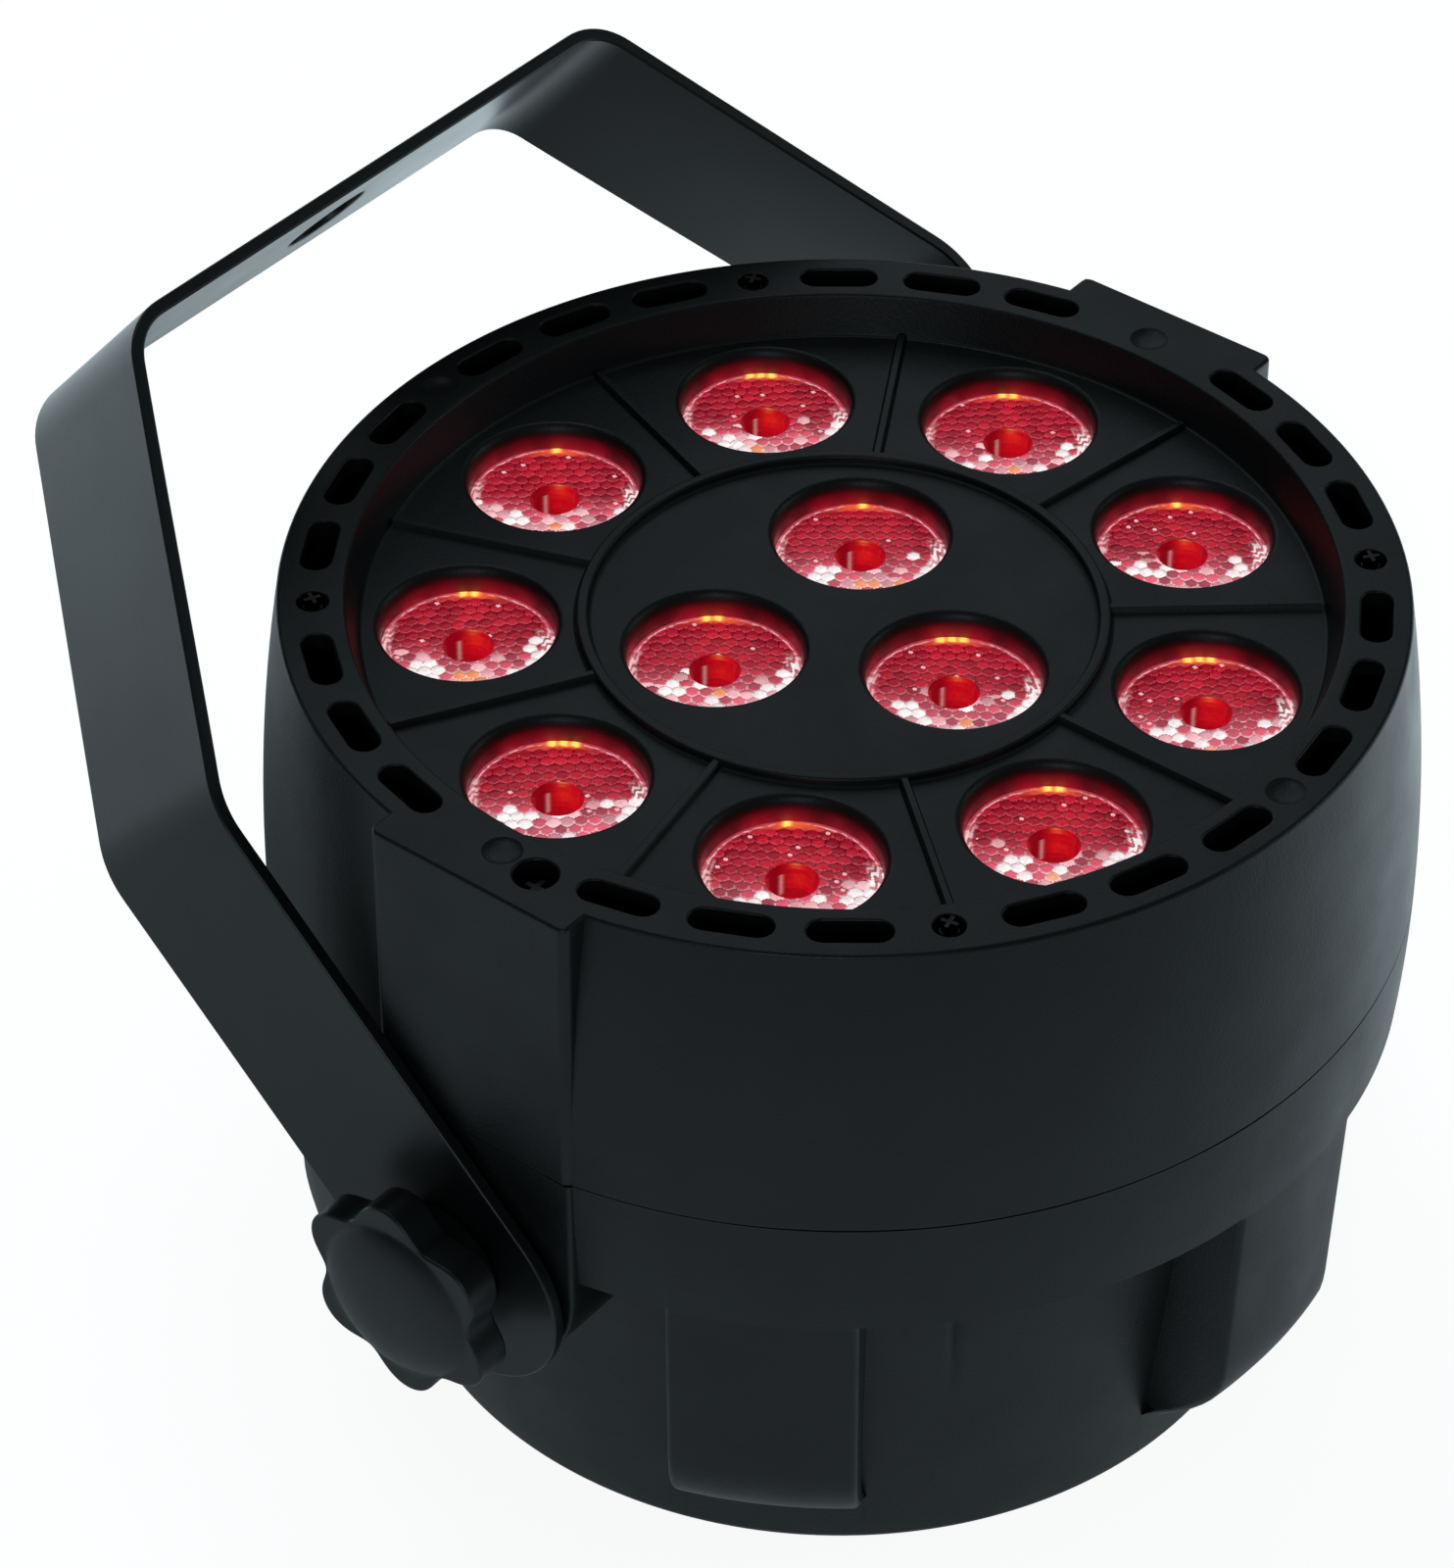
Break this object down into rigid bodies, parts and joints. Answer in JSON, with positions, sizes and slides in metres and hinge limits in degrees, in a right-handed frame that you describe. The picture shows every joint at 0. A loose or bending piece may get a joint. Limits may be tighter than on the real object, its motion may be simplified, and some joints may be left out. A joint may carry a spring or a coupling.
{
  "type": "par can light",
  "caption": "Low round LED par can light with a slotted front rim, beaded lenses in two rings, ribbed rear casing, and a bent strap yoke clamped by two lobed knobs.",
  "frame": {"origin": "on the surface the rear rim rests on, under the middle of the whole light with its yoke; the beam axis is at y = -0.0117 m", "axes": "+Z along the beam, out of the lenses; X along the tilt axis through the two knobs; +Y the side the yoke leans to at rest"},
  "size_m": [0.1874, 0.181, 0.1489],
  "materials": {
    "casing": "fine-textured black moulded plastic",
    "panel": "matt black painted sheet",
    "yoke": "satin black powder coat",
    "knob": "satin black moulded plastic",
    "steel": "zinc plated",
    "black_screw": "blackened",
    "brass": "turned",
    "aluminium": "plain cast",
    "lens": "clear acrylic over red light, polished, beaded front",
    "tray": "plain moulded",
    "white_board": "white solder mask",
    "green_board": "green solder mask",
    "component": "moulded component case",
    "display": "dark red display window",
    "button": "matt",
    "socket": "moulded",
    "wire": "cable sleeve",
    "washer": "fibre-filled friction washer"
  },
  "bodies": {
    "housing": {"front_shell": "casing", "rear_shell": "casing", "rear_panel": "panel", "lens_tray": "tray", "led_board": "white_board", "heat_sink": "aluminium", "power_board": "green_board", "power_transformer": "component", "power_capacitor": "component", "control_board": "green_board", "display_module": "display", "dmx_input_socket": "socket", "dmx_output_socket": "socket", "power_inlet": "socket", "fuse_holder": "socket", "led_cable": "wire", "control_cable": "wire", "mains_cable": "wire", "side_screw": "black_screw", "lens_outer_1": "lens", "lens_outer_2": "lens", "lens_outer_3": "lens", "lens_outer_4": "lens", "lens_outer_5": "lens", "lens_outer_6": "lens", "lens_outer_7": "lens", "lens_outer_8": "lens", "lens_outer_9": "lens", "lens_inner_1": "lens", "lens_inner_2": "lens", "lens_inner_3": "lens", "threaded_insert_left": "brass", "threaded_insert_right": "brass", "rim_screw_1": "black_screw", "panel_screw_1": "black_screw", "rim_screw_2": "black_screw", "panel_screw_2": "black_screw", "rim_screw_3": "black_screw", "panel_screw_3": "black_screw", "rim_screw_4": "black_screw", "panel_screw_4": "black_screw", "heat_sink_screw_1": "steel", "heat_sink_screw_2": "steel", "heat_sink_screw_3": "steel"},
    "yoke": {"yoke_bracket": "yoke", "friction_washer_left": "washer", "friction_washer_right": "washer"},
    "knob_left": {"tilt_knob_left": "knob", "knob_stud_left": "steel"},
    "knob_right": {"tilt_knob_right": "knob", "knob_stud_right": "steel"},
    "fuse_cap": {"fuse_cap": "socket", "fuse_link": "steel"},
    "menu_button": {"menu_button": "button"},
    "enter_button": {"enter_button": "button"},
    "up_button": {"up_button": "button"},
    "down_button": {"down_button": "button"}
  },
  "joints": [
    {"name": "yoke_tilt", "type": "hinge", "parent": "housing", "child": "yoke", "pos_m": [0, -0.0088, 0.0523], "axis": [1, 0, 0], "continuous": true},
    {"name": "knob_left_turn", "type": "hinge", "parent": "housing", "child": "knob_left", "pos_m": [0, -0.0088, 0.0523], "axis": [-1, 0, 0], "continuous": true},
    {"name": "knob_right_turn", "type": "hinge", "parent": "housing", "child": "knob_right", "pos_m": [0, -0.0088, 0.0523], "axis": [1, 0, 0], "continuous": true},
    {"name": "fuse_cap_turn", "type": "hinge", "parent": "housing", "child": "fuse_cap", "pos_m": [0, -0.0227, 0.0075], "axis": [0, 0, -1], "range_deg": [-60, 0]},
    {"name": "menu_button_press", "type": "slide", "parent": "housing", "child": "menu_button", "axis": [0, 0, 1], "range_m": [0, 0.0008], "stiffness_N_per_m": 600, "springref_m": -0.0005},
    {"name": "enter_button_press", "type": "slide", "parent": "housing", "child": "enter_button", "axis": [0, 0, 1], "range_m": [0, 0.0008], "stiffness_N_per_m": 600, "springref_m": -0.0005},
    {"name": "up_button_press", "type": "slide", "parent": "housing", "child": "up_button", "axis": [0, 0, 1], "range_m": [0, 0.0008], "stiffness_N_per_m": 600, "springref_m": -0.0005},
    {"name": "down_button_press", "type": "slide", "parent": "housing", "child": "down_button", "axis": [0, 0, 1], "range_m": [0, 0.0008], "stiffness_N_per_m": 600, "springref_m": -0.0005}
  ]
}
